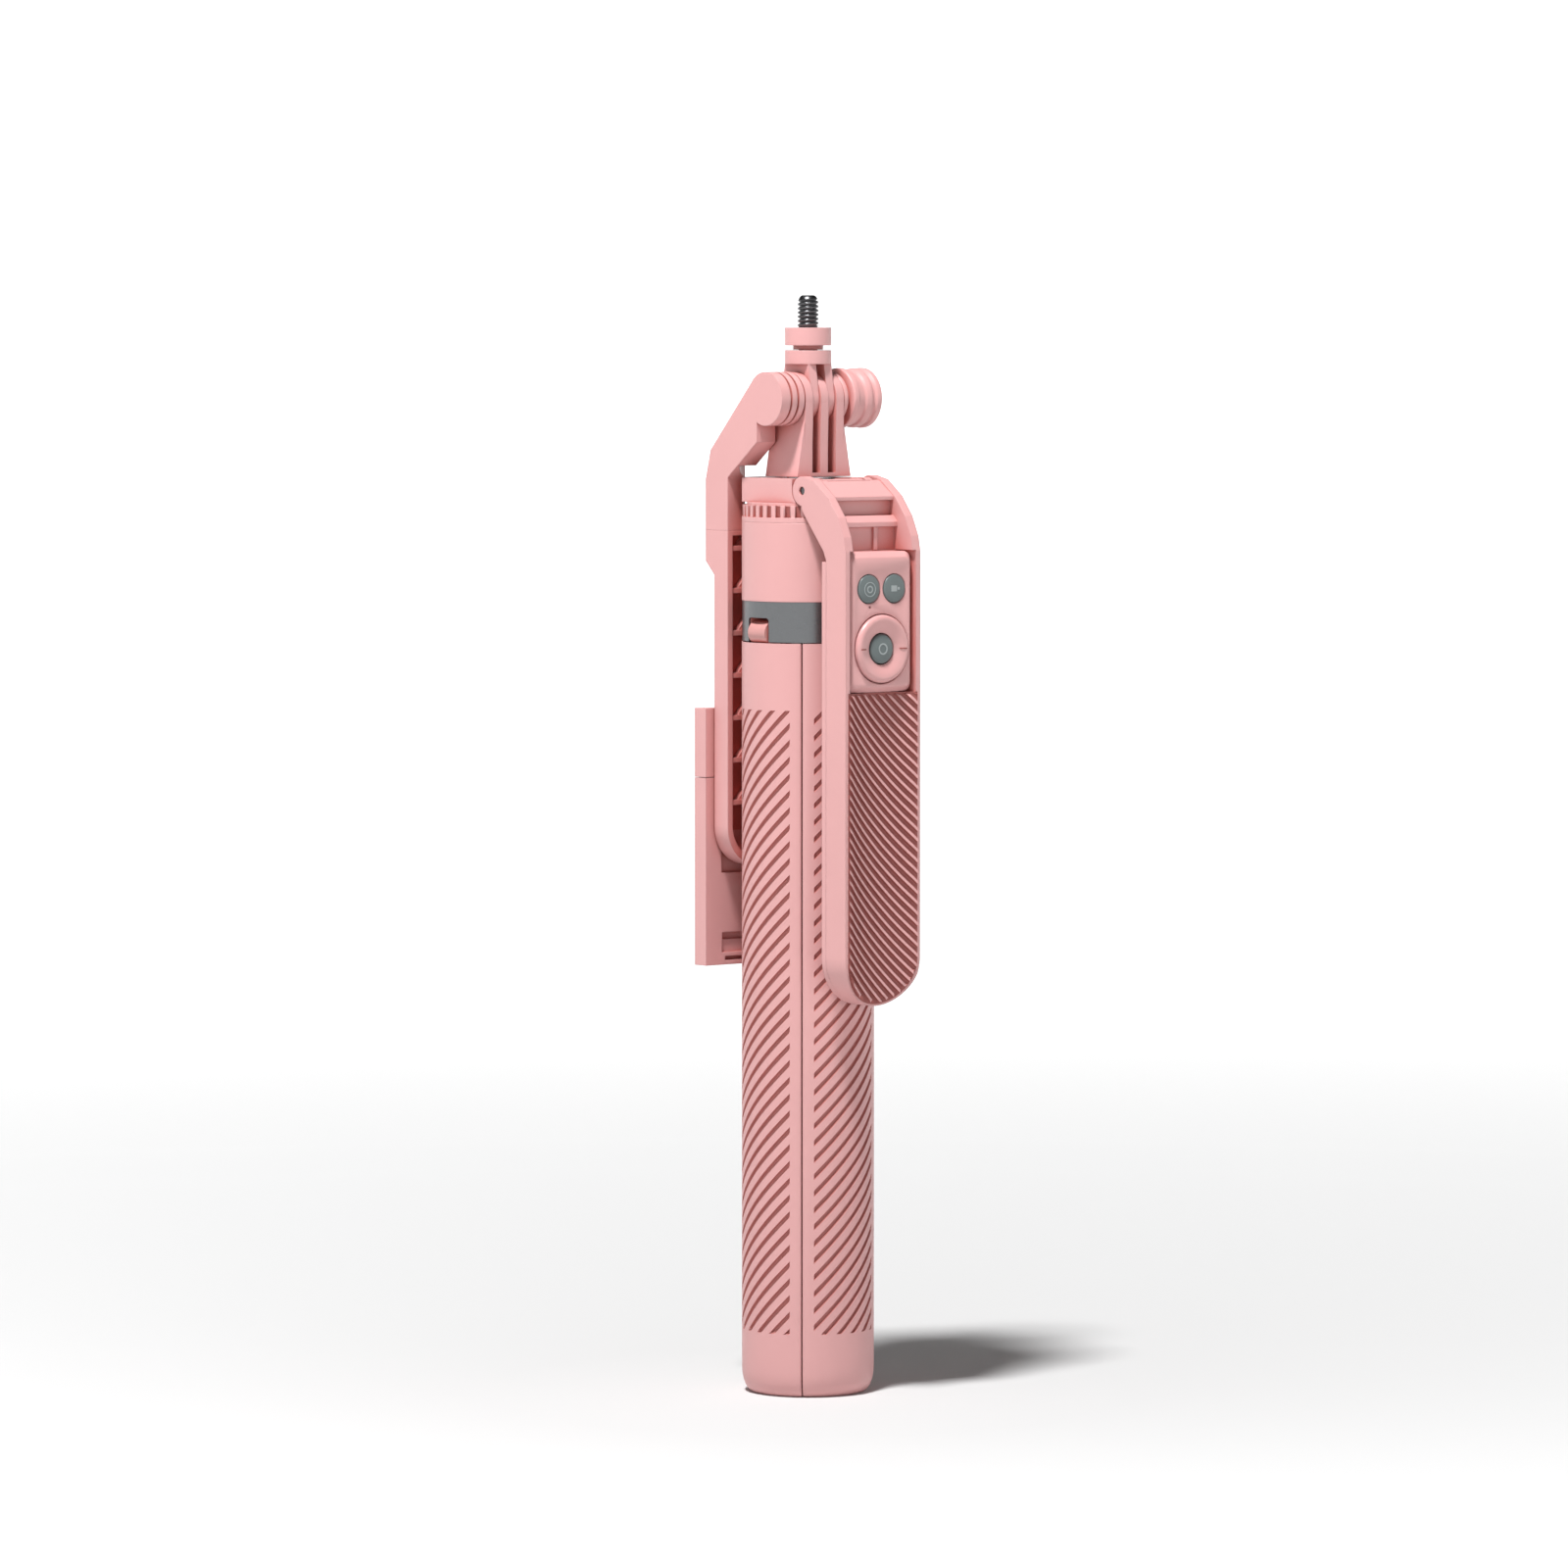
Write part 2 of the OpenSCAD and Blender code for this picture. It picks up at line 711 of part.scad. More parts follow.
pole_tube(1);  // pole_tube_1
leg_hub();
leg_band();
leg_pins();
collar();
knurled_ring();
top_cap();
housing_screws();
handle_pin();
leg_shell(LEGS[0][1]);  // leg_right_shell
leg_liner(LEGS[0][1]);  // leg_right_liner
leg_foot(LEGS[0][1]);  // leg_right_foot
leg_shell(LEGS[1][1]);  // leg_back_shell
leg_liner(LEGS[1][1]);  // leg_back_liner
leg_foot(LEGS[1][1]);  // leg_back_foot
leg_shell(LEGS[2][1]);  // leg_left_shell
leg_liner(LEGS[2][1]);  // leg_left_liner
leg_foot(LEGS[2][1]);  // leg_left_foot
leg_shell(LEGS[3][1]);  // leg_front_shell
leg_liner(LEGS[3][1]);  // leg_front_liner
leg_foot(LEGS[3][1]);  // leg_front_foot
pole_tube(2);  // pole_tube_2
glide_bush(2);  // glide_bush_2
pole_tube(3);  // pole_tube_3
glide_bush(3);  // glide_bush_3
pole_tube(4);  // pole_tube_4
glide_bush(4);  // glide_bush_4
pole_tube(5);  // pole_tube_5
glide_bush(5);  // glide_bush_5
pole_head();
cross_bolt();
bolt_knob();
bolt_nut();
adapter_fork();
lock_disc();
camera_screw();
phone_arm();
phone_tray();
holder_pivot();
holder_plate();
jaw_slider();
guide_rods();
clamp_spring();
jaw(plate_z[1] - 2, -1);  // upper_jaw
jaw_pad(plate_z[1] - 2, -1);  // upper_jaw_pad
jaw_pin(plate_z[1] - 2);  // upper_jaw_pin
jaw(plate_z[0] + 2, 1);  // lower_jaw
jaw_pad(plate_z[0] + 2, 1);  // lower_jaw_pad
jaw_pin(plate_z[0] + 2);  // lower_jaw_pin
handle_shell();
handle_back_cover();
handle_screws();
remote_front_shell();
remote_back_shell();
remote_board();
coin_cell();
key(-5);  // photo_button
key(5);  // video_button
zoom_ring();
shutter_button();
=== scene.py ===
import json
import math

import bpy
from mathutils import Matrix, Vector, geometry


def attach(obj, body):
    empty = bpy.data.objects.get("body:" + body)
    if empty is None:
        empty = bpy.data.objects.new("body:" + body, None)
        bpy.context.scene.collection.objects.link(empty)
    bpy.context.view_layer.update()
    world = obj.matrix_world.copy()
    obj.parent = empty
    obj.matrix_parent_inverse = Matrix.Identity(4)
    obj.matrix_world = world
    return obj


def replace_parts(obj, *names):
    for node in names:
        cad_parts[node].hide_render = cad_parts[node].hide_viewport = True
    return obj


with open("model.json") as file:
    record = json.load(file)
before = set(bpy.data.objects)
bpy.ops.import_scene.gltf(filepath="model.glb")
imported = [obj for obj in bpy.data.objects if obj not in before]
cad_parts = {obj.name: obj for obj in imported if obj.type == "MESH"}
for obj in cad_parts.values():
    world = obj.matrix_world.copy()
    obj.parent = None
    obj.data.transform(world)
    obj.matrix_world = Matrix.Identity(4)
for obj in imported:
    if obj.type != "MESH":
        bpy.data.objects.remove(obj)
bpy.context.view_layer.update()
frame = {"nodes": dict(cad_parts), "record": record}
MM = 0.001

# Pieces are drawn in millimetres in the frame's axes: +X to the clamp knob, -Y to the remote, +Z upwards.
# These places are shared by several pieces.
HINGE_R, HINGE_Z = 17, 233.5        # leg hinges, from the pole's axis and from the floor
BOLT_Z = 304.5                      # clamp bolt
KEY_X, KEY_Z = 5, 247.4             # small keys of the remote
RING_Z = 229.2                      # zoom ring and shutter button
HANDLE_FRONT = 35.6                 # front of the handle's side walls
FACE_FRONT = 34.9                   # front of the remote

# ---------------------------------------------------------------- materials


def new_material(name):
    mat = bpy.data.materials.new(name)
    mat.use_nodes = True
    tree = mat.node_tree
    tree.nodes.clear()
    out = tree.nodes.new("ShaderNodeOutputMaterial")
    shader = tree.nodes.new("ShaderNodeBsdfPrincipled")
    tree.links.new(shader.outputs["BSDF"], out.inputs["Surface"])
    return mat, tree, shader


def value_noise(tree, scale, detail, stretch=(1, 1, 1)):
    coord = tree.nodes.new("ShaderNodeTexCoord")
    mapping = tree.nodes.new("ShaderNodeMapping")
    mapping.inputs["Scale"].default_value = stretch
    tree.links.new(coord.outputs["Object"], mapping.inputs["Vector"])
    tex = tree.nodes.new("ShaderNodeTexNoise")
    tex.inputs["Scale"].default_value = scale
    tex.inputs["Detail"].default_value = detail
    tree.links.new(mapping.outputs["Vector"], tex.inputs["Vector"])
    return tex.outputs["Fac"]


def remap(tree, source, low, high):
    node = tree.nodes.new("ShaderNodeMapRange")
    node.inputs["From Min"].default_value = 0.3
    node.inputs["From Max"].default_value = 0.7
    node.inputs["To Min"].default_value = low
    node.inputs["To Max"].default_value = high
    tree.links.new(source, node.inputs["Value"])
    return node.outputs["Result"]


def finish_material(name, colour, rough, metal=0.0, spread=0.03, grain=900, bump=0.05, edge=0.0005,
                    stretch=(1, 1, 1), rough_spread=0.05, recess_shade=None):
    """A moulded or brushed surface: slight colour and roughness drift, fine grain and soft edges.
    Painted shade: a darker colour takes over in narrow recesses, where ambient occlusion finds little open
    space."""
    mat, tree, shader = new_material(name)
    mix = tree.nodes.new("ShaderNodeMix")
    mix.data_type = "RGBA"
    mix.inputs[6].default_value = [c * (1 - spread) for c in colour] + [1]
    mix.inputs[7].default_value = [min(1, c * (1 + spread)) for c in colour] + [1]
    tree.links.new(value_noise(tree, 45, 3), mix.inputs[0])
    tinted = mix.outputs[2]
    if recess_shade:
        # painted shade: ambient occlusion turns narrow recesses to the deeper red of shade and bounced light
        shade = tree.nodes.new("ShaderNodeAmbientOcclusion")
        shade.samples = 6
        shade.inputs["Distance"].default_value = SHADE_REACH
        open_part = tree.nodes.new("ShaderNodeMapRange")
        open_part.inputs["From Min"].default_value = 0.2
        open_part.inputs["From Max"].default_value = 0.75
        tree.links.new(shade.outputs["AO"], open_part.inputs["Value"])
        deep = tree.nodes.new("ShaderNodeMix")
        deep.data_type = "RGBA"
        deep.inputs[6].default_value = (*recess_shade, 1)
        tree.links.new(open_part.outputs["Result"], deep.inputs[0])
        tree.links.new(tinted, deep.inputs[7])
        tinted = deep.outputs[2]
    tree.links.new(tinted, shader.inputs["Base Color"])
    shader.inputs["Metallic"].default_value = metal
    fine = value_noise(tree, grain, 4, stretch)
    tree.links.new(remap(tree, fine, rough - rough_spread, rough + rough_spread), shader.inputs["Roughness"])
    bumper = tree.nodes.new("ShaderNodeBump")
    bumper.inputs["Strength"].default_value = bump
    bumper.inputs["Distance"].default_value = GRAIN_DEPTH
    tree.links.new(fine, bumper.inputs["Height"])
    if edge:
        bevel = tree.nodes.new("ShaderNodeBevel")
        bevel.samples = 4
        bevel.inputs["Radius"].default_value = edge
        tree.links.new(bevel.outputs["Normal"], bumper.inputs["Normal"])
    tree.links.new(bumper.outputs["Normal"], shader.inputs["Normal"])
    return mat


PINK = (0.61, 0.315, 0.31)
# painted shade: the deep red that narrow recesses of pink_shell and pink_frame take
SHADE_RED = (0.47, 0.125, 0.105)
SHADE_REACH = 0.008
GRAIN_DEPTH = 0.0001
MATS = {
    "pink_shell": finish_material("pink_shell", PINK, 0.42, recess_shade=SHADE_RED),
    "pink_grip": finish_material("pink_grip", PINK, 0.46, edge=0),
    # painted shade: the leg grooves' faces get this darker, deeper pink in place of their shade
    "pink_groove_shade": finish_material("pink_groove_shade", (0.44, 0.155, 0.14), 0.6, edge=0),
    # painted shade for the floors between the grip ribs and in the knurled slots; also the zoom ring's dark
    # marks
    "pink_shade_and_mark": finish_material("pink_shade_and_mark", (0.30, 0.085, 0.075), 0.65, edge=0),
    "pink_frame": finish_material("pink_frame", (0.52, 0.25, 0.235), 0.5, recess_shade=SHADE_RED),
    "pink_ring": finish_material("pink_ring", PINK, 0.36),
    "steel": finish_material("steel", (0.56, 0.57, 0.58), 0.24, 1.0, grain=500, stretch=(1, 1, 0.05)),
    "dark_band": finish_material("dark_band", (0.17, 0.175, 0.18), 0.34, 1.0, grain=700, stretch=(1, 1, 14),
                                 rough_spread=0.08, edge=0.0002),
    "dark_steel": finish_material("dark_steel", (0.12, 0.12, 0.125), 0.3, 1.0),
    "black_nylon": finish_material("black_nylon", (0.03, 0.03, 0.03), 0.5),
    "rubber": finish_material("rubber", (0.05, 0.045, 0.045), 0.75),
    "circuit_board": finish_material("circuit_board", (0.03, 0.16, 0.07), 0.35),
    "cell_can": finish_material("cell_can", (0.6, 0.6, 0.6), 0.22, 1.0),
    "grey_button": finish_material("grey_button", (0.115, 0.14, 0.14), 0.38, edge=0.0003),
    "mark": finish_material("mark", (0.30, 0.33, 0.33), 0.45, edge=0),
    # painted shade: the dark red of the tray's unlit floor
    "tray_shade_red": finish_material("tray_shade_red", (0.42, 0.06, 0.045), 0.6, edge=0),
}

slots = {s["node"]: s["material_slot"] for s in frame["record"]["subparts"]}
for name, obj in frame["nodes"].items():
    obj.data.materials.clear()
    obj.data.materials.append(MATS[slots[name]])

# ---------------------------------------------------------------- mesh helpers


def make(name, verts, faces, mats, body, smooth=math.radians(35), face_mats=None):
    """A mesh piece from millimetre vertices, riding on a body."""
    mesh = bpy.data.meshes.new(name)
    mesh.from_pydata([Vector(v) * MM for v in verts], [], faces)
    mesh.validate()
    for mat in mats:
        mesh.materials.append(MATS[mat])
    if face_mats and len(face_mats) == len(mesh.polygons):
        mesh.polygons.foreach_set("material_index", face_mats)
    mesh.polygons.foreach_set("use_smooth", [True] * len(mesh.polygons))
    mesh.update()
    mesh.set_sharp_from_angle(angle=smooth)
    obj = bpy.data.objects.new(name, mesh)
    bpy.context.scene.collection.objects.link(obj)
    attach(obj, body)
    return obj


def grid_faces(rows, cols, start=0, flip=False, wrap=False):
    faces = []
    for r in range(rows - 1):
        for c in range(cols if wrap else cols - 1):
            d = (c + 1) % cols
            near, far = start + r * cols, start + (r + 1) * cols
            q = [near + c, near + d, far + d, far + c]
            faces.append(q[::-1] if flip else q)
    return faces


def closed_sheet(outer, inner):
    """Vertices and faces of a closed sheet between two grids of points of the same size."""
    rows, cols = len(outer), len(outer[0])
    verts = [p for row in outer for p in row] + [p for row in inner for p in row]
    n = rows * cols
    faces = grid_faces(rows, cols) + grid_faces(rows, cols, n, True)
    for c in range(cols - 1):
        faces.append([c + 1, c, n + c, n + c + 1])
        top = (rows - 1) * cols
        faces.append([top + c, top + c + 1, n + top + c + 1, n + top + c])
    for r in range(rows - 1):
        a, b = r * cols, (r + 1) * cols
        faces.append([a, b, n + b, n + a])
        e, f = a + cols - 1, b + cols - 1
        faces.append([f, e, n + e, n + f])
    return verts, faces


def squeeze(value, low, high, share=0.01):
    """value kept between low and high, with a trace of its order left so that rows never meet."""
    if value < low:
        return low - share * (low - value)
    if value > high:
        return high + share * (value - high)
    return value


# ---------------------------------------------------------------- leg shells

GRIP_R = 20.25
SKIN_R = 18                         # inner face of a leg skin
TIP_R = 16.7                        # its inner edge at the tip
TIP_HEIGHT, TIP_INSET = 7.5, 3.4    # rounding of the tip
LEG_TOP = 230.4
FIELD = math.radians(34.5)          # half angle of the grooved field
FIELD_EDGE = math.radians(1.5)      # over which a groove runs out
FIELD_LOW, FIELD_HIGH = 19.5, 210.0
HELIX = 20.4                        # rise of a groove for each radian
PITCH = 5.14
TOP_GROOVE = 205.5
GROOVE_DEPTH = 0.8
GROOVE = ((-0.98, 0), (-0.6, 1), (0.6, 1), (0.98, 0))
EDGE_DROP = {44.5: 0.45, 43.9: 0.12}
SIDE_COLUMNS = [32.6, 33.7, 34.5, 35.3, 37, 40, 43.2, 43.9, 44.5]
COLUMNS = [-c for c in SIDE_COLUMNS[::-1]]
COLUMNS += [-32.6 + 65.2 * i / 28 for i in range(1, 28)]
COLUMNS += SIDE_COLUMNS


def leg_top(radius, phi):
    """Height of a leg's top edge, which is notched round the hinge."""
    x, y = radius * math.cos(phi), radius * math.sin(phi)
    notch = 4.3 if abs(y) > 4.1 else 3.5
    aside = abs(x - HINGE_R)
    if aside >= notch:
        return LEG_TOP
    return min(LEG_TOP, HINGE_Z - math.sqrt(notch * notch - aside * aside))


def leg_levels():
    """A leg skin's levels from its tip up: (outer z, fall of the outer radius, inner radius, inner z, groove,
    sheared). Sheared levels follow the grooves. The level without a height follows the top edge."""
    levels = []

    def tip(angle):
        t = math.radians(angle)
        return TIP_HEIGHT * (1 - math.cos(t)), TIP_INSET * (1 - math.sin(t))

    for angle in (0, 15, 30, 45):
        z, fall = tip(angle)
        levels.append((z, fall, TIP_R, min(z, 2.6), 0, False))
    levels.append((2.9, 0.77, TIP_R, 2.7, 0, False))
    levels.append((3.3, 0.585, SKIN_R, 2.71, 0, False))
    for angle in (60, 75, 90):
        z, fall = tip(angle)
        levels.append((z, fall, SKIN_R, z, 0, False))
    levels.append((13, 0, SKIN_R, 13, 0, False))
    reach = HELIX * FIELD
    z = TOP_GROOVE - reach
    while z - PITCH > FIELD_LOW - reach:
        z -= PITCH
    while z < FIELD_HIGH + reach - 1:
        levels += [(z + off, 0, SKIN_R, None, share, True) for off, share in GROOVE]
        z += PITCH
    levels += [(z, 0, SKIN_R, z, 0, False) for z in (216, 222, 227)]
    levels.append((None, 0, SKIN_R, None, 0, False))
    return levels


def leg_point(level, column, turn):
    """The outer and the inner point of a leg skin, at one level and one angle across it."""
    z, fall, r_in, z_in, share, sheared = level
    phi = math.radians(column)
    r = GRIP_R - fall - EDGE_DROP.get(abs(column), 0)
    z_out = z
    if z is None:
        z_out, z_in = LEG_TOP, leg_top(r_in, phi)
    elif sheared:
        bare = z + HELIX * max(-FIELD, min(FIELD, phi))
        if FIELD_LOW < bare < FIELD_HIGH and abs(phi) < FIELD - 0.005:
            r -= GROOVE_DEPTH * share * min(1, (FIELD - abs(phi)) / FIELD_EDGE)
        z_out = z_in = squeeze(bare, FIELD_LOW, FIELD_HIGH)
    c, s = math.cos(phi + turn), math.sin(phi + turn)
    return (r * c, r * s, z_out), (r_in * c, r_in * s, z_in)


def leg_skin(side, angle):
    body = "leg_" + side
    levels = leg_levels()
    points = [[leg_point(level, column, math.radians(angle)) for column in COLUMNS] for level in levels]
    outer = [[pair[0] for pair in row] for row in points]
    inner = [[pair[1] for pair in row] for row in points]
    verts, faces = closed_sheet(outer, inner)

    def deep(point):
        return GRIP_R - math.hypot(point[0], point[1]) > 0.3

    # faces deep in a groove take the painted groove shade
    kinds = []
    for r in range(len(levels) - 1):
        grooved = levels[r][4] + levels[r + 1][4] > 0
        for c in range(len(COLUMNS) - 1):
            sunk = deep(outer[r][c]) or deep(outer[r + 1][c + 1])
            kinds.append(1 if grooved and sunk and abs(COLUMNS[c]) < 34.6 else 0)
    kinds += [0] * (len(faces) - len(kinds))
    skin = make("leg_skin_" + side, verts, faces, ["pink_grip", "pink_groove_shade"], body,
                math.radians(28), kinds)
    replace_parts(skin, body + "_shell")


for side, angle in (("right", 0), ("back", 90), ("left", 180), ("front", 270)):
    leg_skin(side, angle)

# ---------------------------------------------------------------- painted shade on the phone tray's floor


def slab(verts, faces, low, high):
    """Adds a closed box between two corners to a mesh."""
    n = len(verts)
    verts += [(x, y, z) for x in (low[0], high[0]) for y in (low[1], high[1]) for z in (low[2], high[2])]
    for f in ((0, 1, 3, 2), (4, 6, 7, 5), (0, 4, 5, 1), (2, 3, 7, 6), (0, 2, 6, 4), (1, 5, 7, 3)):
        faces.append([n + k for k in f])


def tray_shade_sheet():
    """A thin dark red sheet on the tray's floor between its cross ribs: painted shade, where the tray is
    unlit.
    """
    verts, faces = [], []
    rib_low, rib_pitch, past_rib, half = 179.8, 13, 1.7, 14.9
    edges = [172] + [rib_low + rib_pitch * i for i in range(7)] + [262.3]
    for i, (low, high) in enumerate(zip(edges, edges[1:])):
        slab(verts, faces, (-half, 21.3, low + (past_rib if i else 0)), (half, 21.45, high - 0.1))
    make("tray_shade_sheet", verts, faces, ["tray_shade_red"], "phone_arm")


tray_shade_sheet()

# ---------------------------------------------------------------- ribbed grip face of the handle

LOW_MID = 135.35                    # centre of the handle's round lower end
GRIP_HALF = 13.75
GRIP_SAG = 3.6
SAG_R = (GRIP_HALF ** 2 + GRIP_SAG ** 2) / (2 * GRIP_SAG)
GRIP_TOP = 215.4
RIB_PITCH = 3.2
RIB = ((-0.78, 0), (-0.52, 1), (0.52, 1), (0.78, 0))


def face_y(x):
    """The hollow face of the handle."""
    return -HANDLE_FRONT - SAG_R + GRIP_SAG + math.sqrt(SAG_R ** 2 - x * x)


def grip_inlay():
    """Slanting ribs on the hollow face, with painted shade on the floors between them."""
    xs = [-13.62, -13.45, -13.2] + [-13.2 + 26.4 * i / 26 for i in range(1, 26)] + [13.2, 13.45, 13.62]
    levels = []
    z = LOW_MID - 28
    while z < GRIP_TOP + 14:
        levels += [(z + off, h) for off, h in RIB]
        z += RIB_PITCH
    levels = [(None, 0)] + levels + [(None, 0)]
    outer, inner = [], []
    for i, (z, h) in enumerate(levels):
        out_row, in_row = [], []
        for x in xs:
            low = LOW_MID - math.sqrt(GRIP_HALF ** 2 - x * x)
            live = False
            if z is None:
                zz = GRIP_TOP + 0.45 if i else low - 0.45
            else:
                bare = z - x
                live = low < bare < GRIP_TOP and abs(x) < 13.5
                zz = squeeze(bare, low, GRIP_TOP)
            rise = 0.12 + (0.1 + (0.72 if abs(x) < 12.5 else 0.42) if live and h else 0)
            y = face_y(x)
            out_row.append((x, y - rise, zz))
            in_row.append((x, y - 0.02, zz))
        outer.append(out_row)
        inner.append(in_row)
    verts, faces = closed_sheet(outer, inner)

    def raised(point):
        return face_y(point[0]) - point[1] > 0.3

    # faces between the rib crests take the painted shade
    kinds = []
    for r in range(len(levels) - 1):
        crest = levels[r][1] and levels[r + 1][1]
        for c in range(len(xs) - 1):
            kinds.append(0 if crest and raised(outer[r][c]) and raised(outer[r + 1][c + 1]) else 1)
    kinds += [1] * (len(faces) - len(kinds))
    make("grip_inlay", verts, faces, ["pink_grip", "pink_shade_and_mark"], "handle",
         math.radians(28), kinds)


grip_inlay()

# ---------------------------------------------------------------- turned and stacked pieces


def circle(r, n):
    return [(r * math.cos(2 * math.pi * i / n), r * math.sin(2 * math.pi * i / n)) for i in range(n)]


def turned(name, profile, place, body, slot, mats=None, n=72):
    """A closed solid of revolution. profile is (along, radius) pairs; place turns (along, a, b) into a point.
    A profile that ends where it starts gives a ring."""
    verts, faces = [], []
    for along, r in profile:
        verts += [place(along, a, b) for a, b in circle(r, n)]
    rows = len(profile)
    hollow = profile[0][1] > 0 and profile[0] == profile[-1]
    if hollow:
        rows -= 1
        verts = verts[:rows * n]
        for r in range(rows):
            for c in range(n):
                d, e = (c + 1) % n, (r + 1) % rows
                faces.append([r * n + c, r * n + d, e * n + d, e * n + c])
    else:
        faces = grid_faces(rows, n, 0, False, True)
        faces.append(list(range(n))[::-1])
        faces.append([(rows - 1) * n + i for i in range(n)])
    return make(name, verts, faces, mats or [slot], body, math.radians(30))


def rounded(points, radius, steps=4):
    """A profile with its corners rounded; each point may carry its own radius as a third number."""
    out = []
    count = len(points)
    for i, p in enumerate(points):
        r = p[2] if len(p) > 2 else radius
        here = Vector(p[:2])
        if i in (0, count - 1) or r == 0:
            out.append(tuple(here))
            continue
        a, b = Vector(points[i - 1][:2]) - here, Vector(points[i + 1][:2]) - here
        r = min(r, a.length * 0.49, b.length * 0.49)
        a, b = here + a.normalized() * r, here + b.normalized() * r
        for k in range(steps + 1):
            t = k / steps
            out.append(tuple(a * (1 - t) ** 2 + here * 2 * t * (1 - t) + b * t * t))
    return out


def along_x(x, a, b):
    return (x, a, BOLT_Z + b)


knob = [(7.9, 2.7, 0), (7.9, 8.0), (9.6, 8.0), (9.9, 6.4), (10.7, 6.4), (11.0, 9.2), (13.0, 9.2, 0.5),
        (13.3, 8.7, 0.2), (15.9, 8.3, 0.2), (16.3, 8.9, 0.2), (18.2, 9.2, 0.9), (19.0, 8.5, 0.2),
        (19.7, 8.5, 0.2), (20.2, 9.2, 0.3), (22.1, 9.2, 0.9), (22.1, 7.9, 0.2), (21.6, 7.5, 0.2),
        (21.4, 0.01, 0)]
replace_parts(turned("knob_body", rounded(knob, 0.55), along_x, "clamp_bolt", "pink_shell"), "bolt_knob")


def thread():
    """A 1/4-20 screw with a rounded tip, on its relieved shank."""
    screw_low, screw_top, pitch, crest = 326.35, 336.0, 1.27, 3.175
    shank_low, shank_r = 316.0, 2.9
    tip_low, tip_reach, tip_fall = 333.6, 2.45, 1.9
    n, verts, rows = 40, [], 0
    z = screw_low
    while z <= screw_top + 1e-6:
        run = min(1, max(0, (z - 326.5) / 0.5), max(0, (335.1 - z) / 0.7))
        rise = max(0, (z - tip_low) / tip_reach)
        tip = tip_fall * (1 - math.sqrt(max(0, 1 - rise ** 2)))
        for i in range(n):
            phase = ((z - screw_low) / pitch - i / n) % 1
            cut = min(1, max(0, 1.3 - abs(phase - 0.5) * 4.4)) * 0.66 * run
            if run == 0 and z < 327:
                cut = 0.3
            r = crest - cut - tip
            verts.append((r * math.cos(2 * math.pi * i / n), r * math.sin(2 * math.pi * i / n), z))
        rows += 1
        z += 0.1
    base = len(verts)
    faces = grid_faces(rows, n, 0, False, True)
    for z in (screw_low, shank_low):
        verts += [(x, y, z) for x, y in circle(shank_r, n)]
    faces += [[i, base + i, base + (i + 1) % n, (i + 1) % n][::-1] for i in range(n)]
    faces += grid_faces(2, n, base, False, True)
    faces.append([base + n + i for i in range(n)])
    faces.append([base - n + i for i in range(n)])
    return make("screw_thread", verts, faces, ["dark_steel"], "adapter", math.radians(50))


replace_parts(thread(), "camera_screw")


def rounded_rect(hx, hz, r, n=8):
    corners = ((hx - r, hz - r, 0), (r - hx, hz - r, 90), (r - hx, r - hz, 180), (hx - r, r - hz, 270))
    pts = []
    for cx, cz, start in corners:
        for k in range(n + 1):
            a = math.radians(start + 90 * k / n)
            pts.append((cx + r * math.cos(a), cz + r * math.sin(a)))
    return pts


def ring_loop(cx, cz, r, n=48):
    return [(cx + a, cz + b) for a, b in circle(r, n)]


def plate(name, stacks, place, body, mats):
    """A solid from stacks of loops. A stack is one outline's levels, [(loop, depth), ...] from back to front.
    The first stack is the outside and the others are holes. Both ends are filled flat."""
    verts, faces = [], []
    ends = ([], [])
    for s, levels in enumerate(stacks):
        n = len(levels[0][0])
        start = len(verts)
        for loop, depth in levels:
            verts += [place(a, b, depth) for a, b in loop]
        faces += grid_faces(len(levels), n, start, s > 0, True)
        ends[0].append((start, levels[0][0]))
        ends[1].append((start + (len(levels) - 1) * n, levels[-1][0]))
    for side, loops in enumerate(ends):
        flat = [[Vector((a, b, 0)) for a, b in loop] for _, loop in loops]
        points = [v for loop in flat for v in loop]
        index = [start + k for start, loop in loops for k in range(len(loop))]
        for tri in geometry.tessellate_polygon(flat):
            f = [index[k] for k in tri]
            p, q, r = (points[k] for k in tri)
            turn = (q - p).cross(r - p).z
            if abs(turn) < 1e-9:
                continue
            if (turn > 0) != (side == 1):
                f = f[::-1]
            faces.append(f)
    return make(name, verts, faces, mats, body, math.radians(30))


def to_front(x, z, depth):
    """A point seen from the handle's side, where +x is to the right."""
    return (-x, -depth, z)


def remote_front():
    back, half_w, half_h = 31.0, 12.9, 21.3
    mid = 216 + half_h
    bevel = ((back, 0, 2.6), (32.7, 0, 2.6), (33.0, 0.08, 2.55), (33.3, 0.3, 2.4), (34.55, 1.45, 1.75),
             (34.8, 1.7, 1.6), (FACE_FRONT, 1.9, 1.4))
    stacks = [[([(x, z + mid) for x, z in rounded_rect(half_w - inset, half_h - inset, r)], depth)
               for depth, inset, r in bevel]]
    # holes for the two keys, the zoom ring and the lamp, each with a softened lip
    holes = ((-KEY_X, KEY_Z, 4.5, 0.22), (KEY_X, KEY_Z, 4.5, 0.22), (0, RING_Z, 10.7, 0.2),
             (4.6, 241.9, 0.42, 0.08))
    for cx, cz, r, lip in holes:
        stacks.append([(ring_loop(cx, cz, r), back), (ring_loop(cx, cz, r), FACE_FRONT - lip),
                       (ring_loop(cx, cz, r + lip * 0.3), FACE_FRONT - lip * 0.3),
                       (ring_loop(cx, cz, r + lip), FACE_FRONT)])
    return plate("remote_face", stacks, to_front, "remote", ["pink_ring"])


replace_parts(remote_front(), "remote_front_shell")


def at(cx, cz):
    return lambda along, a, b: (cx + a, -along, cz + b)


